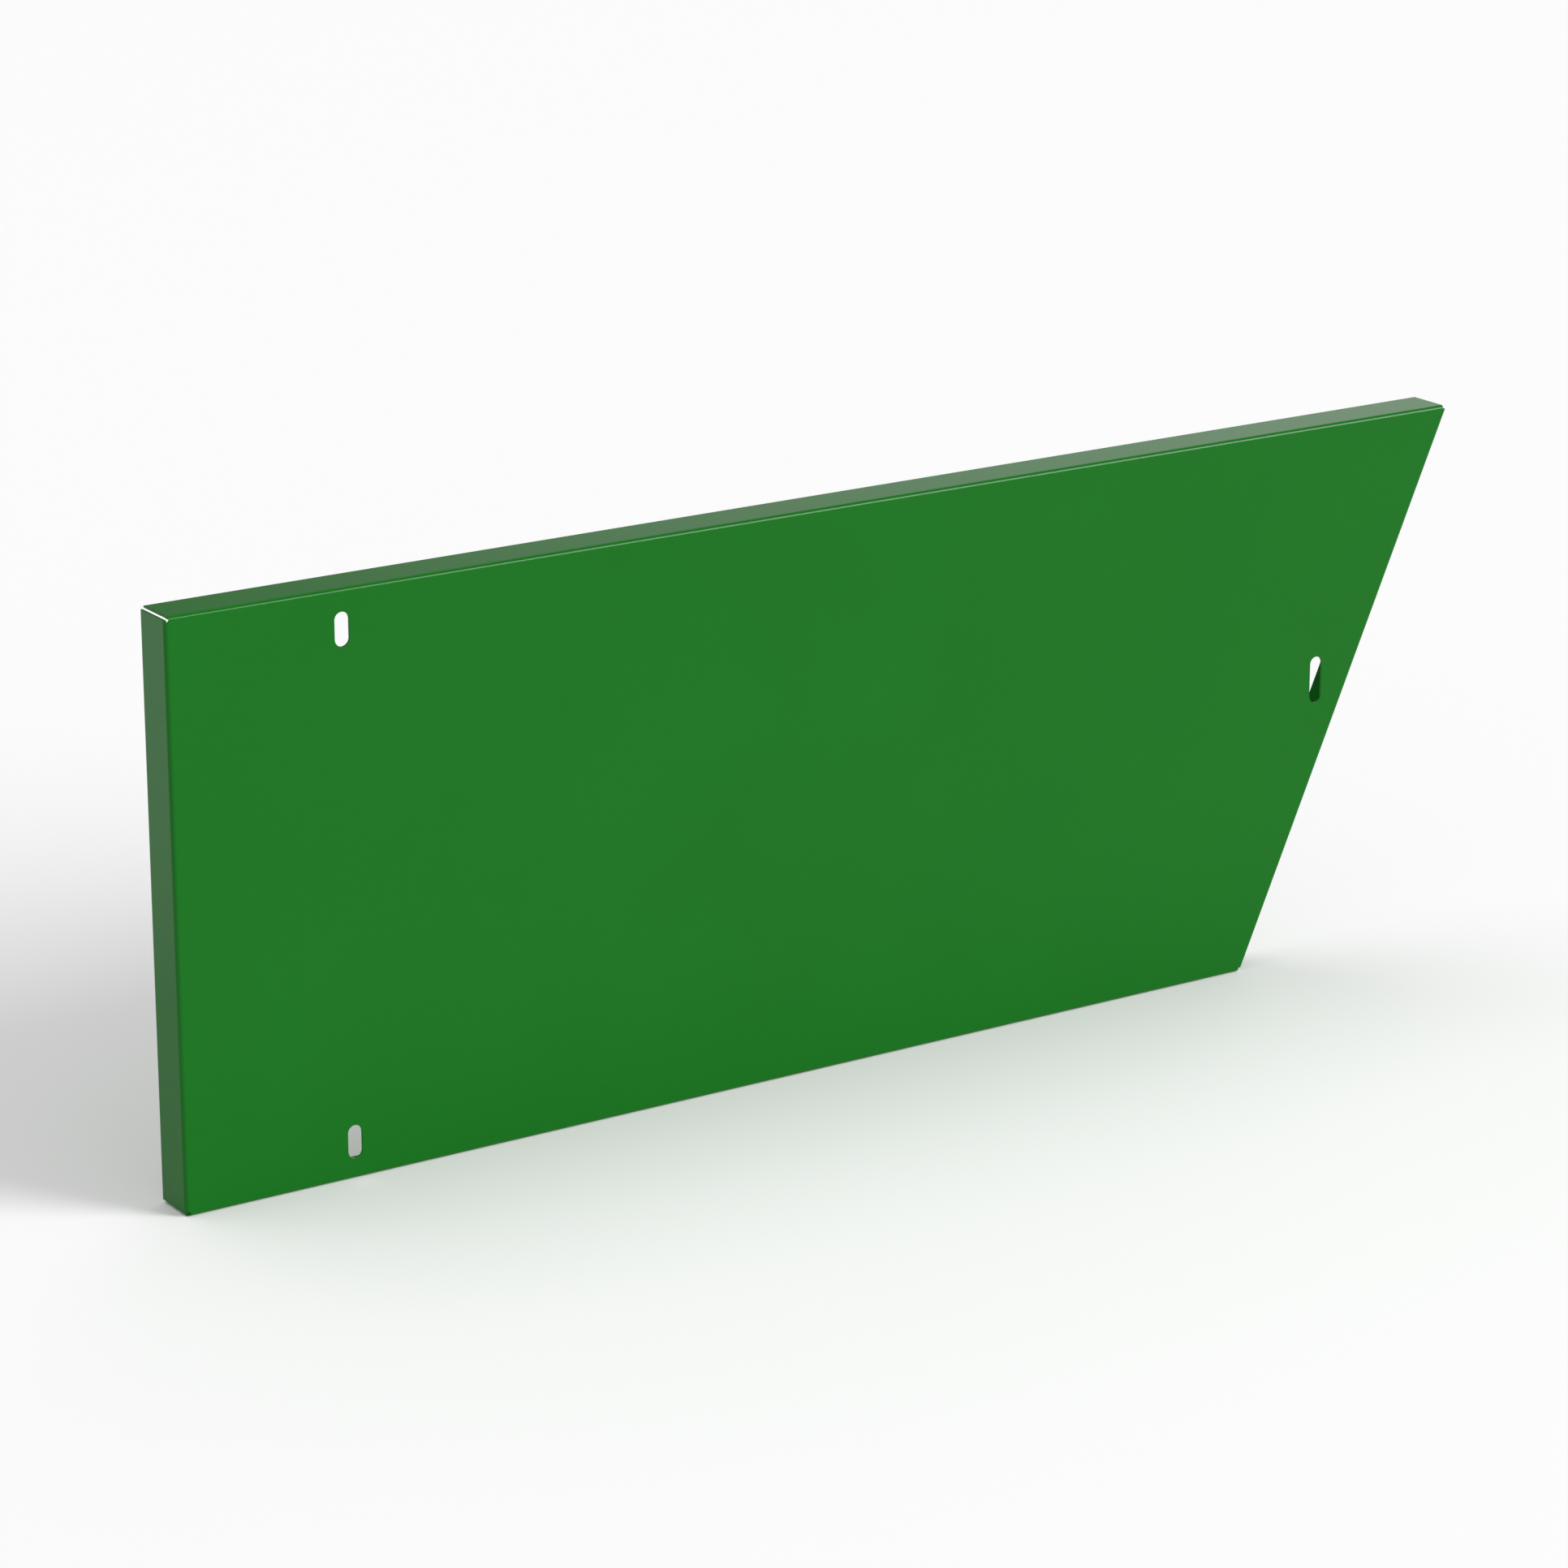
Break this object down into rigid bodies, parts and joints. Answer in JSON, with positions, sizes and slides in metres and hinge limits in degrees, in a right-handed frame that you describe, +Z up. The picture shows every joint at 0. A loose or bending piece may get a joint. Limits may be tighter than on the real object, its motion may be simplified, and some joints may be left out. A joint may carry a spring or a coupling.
{
  "type": "slide side panel",
  "caption": "Folded sheet-metal side panel of a slide: flat face with one slanted end, flanges turned back on every edge, open corners and upright bolt slots.",
  "frame": {"origin": "middle of the line between the two slots at the square end, on the outer face", "axes": "+X along the panel towards the slanted end, +Y out of the outer face into the open back, +Z up towards the longer edge"},
  "size_m": [0.9068, 0.0285, 0.35],
  "materials": {
    "powder_coat": "smooth semi-gloss powder coat, leaf green, on folded sheet metal"
  },
  "bodies": {
    "root": {"side_panel": "powder_coat"}
  },
  "joints": []
}
